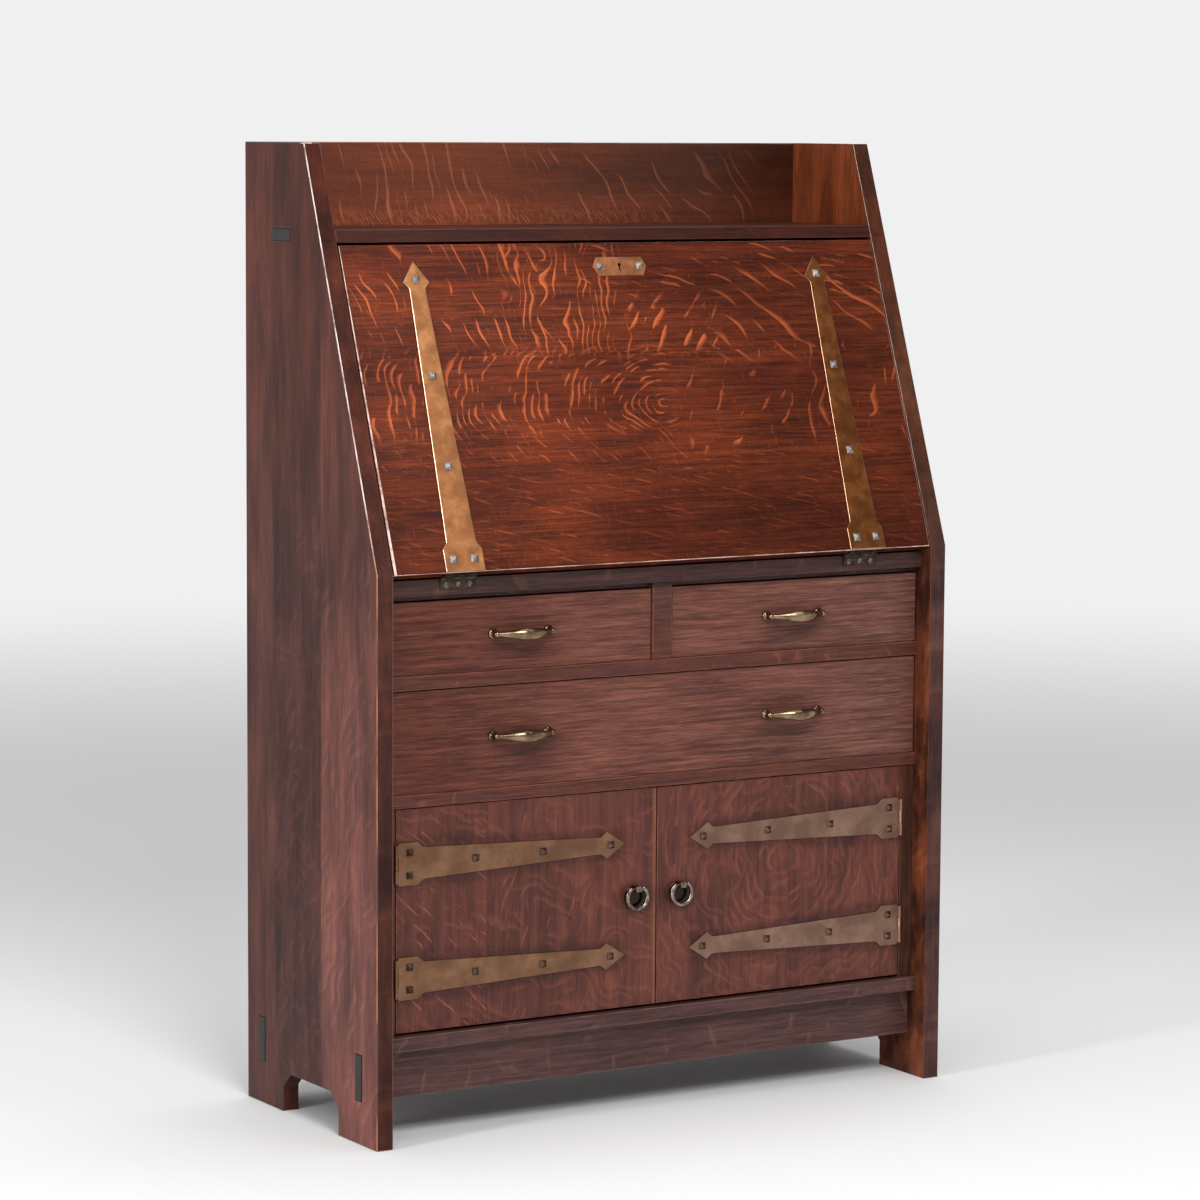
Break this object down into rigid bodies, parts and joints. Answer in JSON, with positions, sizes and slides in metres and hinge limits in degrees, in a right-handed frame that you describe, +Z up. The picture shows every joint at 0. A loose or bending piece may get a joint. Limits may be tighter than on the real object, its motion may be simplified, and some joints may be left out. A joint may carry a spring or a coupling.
{
  "type": "slant-front writing desk",
  "caption": "Dark oak writing desk with plank sides, a slanted drop front on strap hinges, drawers and a two-door cupboard.",
  "frame": {"origin": "on the floor, at the centre of the footprint, with the straps' feet counted in it", "axes": "+X to the right seen from the front, +Y to the back, +Z up; the front faces -Y"},
  "size_m": [0.8372, 0.3506, 1.219],
  "materials": {
    "oak_side": "dark fumed quartersawn oak, waxed",
    "oak_rail": "dark fumed oak, waxed",
    "oak_back": "dark fumed quartersawn oak",
    "oak_inside": "plain oak, thin finish",
    "oak_fall": "red-brown quartersawn oak with ray fleck, shellac",
    "oak_door": "red-brown quartersawn oak, waxed",
    "oak_drawer": "brown oak with straight grain, waxed",
    "oak_light": "unfinished oak",
    "copper_fall": "patinated hand-hammered copper",
    "copper_door": "dark patinated hand-hammered copper",
    "copper_plate": "patinated copper",
    "nail_iron": "dark burnished iron",
    "brass_pull": "aged brass, rubbed bright",
    "bronze_ring": "dark bronze, rubbed",
    "hinge_steel": "dark brown steel",
    "screw_steel": "worn steel",
    "brass_inside": "satin brass"
  },
  "bodies": {
    "case": {"side_left": "oak_side", "side_right": "oak_side", "gallery_shelf": "oak_rail", "gallery_back": "oak_back", "back_boards": "oak_inside", "writing_floor": "oak_rail", "floor_strip": "oak_rail", "mid_rail": "oak_rail", "low_rail": "oak_rail", "divider_stile": "oak_rail", "partition": "oak_inside", "upper_runners": "oak_inside", "lower_runners": "oak_inside", "cupboard_floor": "oak_rail", "apron": "oak_rail", "back_rail": "oak_rail", "door_jambs": "oak_rail", "door_stop": "oak_inside", "fall_stops": "oak_inside", "pigeonhole_case": "oak_inside", "pigeonhole_dividers": "oak_inside", "fall_hinge_leaves": "hinge_steel", "fall_leaf_screws": "screw_steel", "hinge_pins": "screw_steel", "door_hinge_leaves": "copper_door", "door_leaf_screws": "screw_steel", "stay_studs": "brass_inside"},
    "fall": {"fall_board": "oak_fall", "fall_straps": "copper_fall", "fall_nails": "nail_iron", "escutcheon": "copper_plate", "lock_case": "brass_inside", "fall_hinge_flaps": "hinge_steel", "fall_flap_screws": "screw_steel", "stay_brackets": "brass_inside"},
    "bolt": {"lock_bolt": "brass_inside"},
    "stay_left": {"stay_left": "brass_inside"},
    "stay_right": {"stay_right": "brass_inside"},
    "door_left": {"door_left": "oak_door", "door_left_straps": "copper_door", "door_left_nails": "nail_iron", "ring_clip_left": "bronze_ring"},
    "ring_left": {"ring_left": "bronze_ring"},
    "door_right": {"door_right": "oak_door", "door_right_straps": "copper_door", "door_right_nails": "nail_iron", "ring_clip_right": "bronze_ring"},
    "ring_right": {"ring_right": "bronze_ring"},
    "drawer_small_left": {"small_left_front": "oak_drawer", "small_left_box": "oak_light", "small_left_bottom": "oak_light", "small_left_pull": "brass_pull"},
    "drawer_small_right": {"small_right_front": "oak_drawer", "small_right_box": "oak_light", "small_right_bottom": "oak_light", "small_right_pull": "brass_pull"},
    "drawer_wide": {"wide_front": "oak_drawer", "wide_box": "oak_light", "wide_bottom": "oak_light", "wide_pulls": "brass_pull"}
  },
  "joints": [
    {"name": "fall_hinge", "type": "hinge", "parent": "case", "child": "fall", "pos_m": [0, -0.15573, 0.6945], "axis": [1, 0, 0], "range_deg": [0, 110.17]},
    {"name": "bolt_slide", "type": "slide", "parent": "fall", "child": "bolt", "axis": [0, 0.3448, 0.9387], "range_m": [0, 0.012]},
    {"name": "stay_left_pivot", "type": "hinge", "parent": "fall", "child": "stay_left", "pos_m": [-0.39025, -0.10114, 0.81797], "axis": [1, 0, 0], "range_deg": [-55.38, 0]},
    {"name": "stay_right_pivot", "type": "hinge", "parent": "fall", "child": "stay_right", "pos_m": [0.39025, -0.10114, 0.81797], "axis": [1, 0, 0], "range_deg": [-55.38, 0]},
    {"name": "door_left_hinge", "type": "hinge", "parent": "case", "child": "door_left", "pos_m": [-0.37475, -0.14273, 0.274], "axis": [0, 0, -1], "range_deg": [0, 105]},
    {"name": "ring_left_swing", "type": "hinge", "parent": "door_left", "child": "ring_left", "pos_m": [-0.033, -0.14973, 0.2865], "axis": [-1, 0, 0], "range_deg": [-8, 85]},
    {"name": "door_right_hinge", "type": "hinge", "parent": "case", "child": "door_right", "pos_m": [0.37475, -0.14273, 0.274], "axis": [0, 0, 1], "range_deg": [0, 105]},
    {"name": "ring_right_swing", "type": "hinge", "parent": "door_right", "child": "ring_right", "pos_m": [0.033, -0.14973, 0.2865], "axis": [-1, 0, 0], "range_deg": [-8, 85]},
    {"name": "drawer_small_left_slide", "type": "slide", "parent": "case", "child": "drawer_small_left", "axis": [0, -1, 0], "range_m": [0, 0.2]},
    {"name": "drawer_small_right_slide", "type": "slide", "parent": "case", "child": "drawer_small_right", "axis": [0, -1, 0], "range_m": [0, 0.2]},
    {"name": "drawer_wide_slide", "type": "slide", "parent": "case", "child": "drawer_wide", "axis": [0, -1, 0], "range_m": [0, 0.2]}
  ],
  "couplings": [
    {"joint": "stay_left_pivot", "follows": "fall_hinge", "ratio": -0.5},
    {"joint": "stay_right_pivot", "follows": "fall_hinge", "ratio": -0.5}
  ]
}
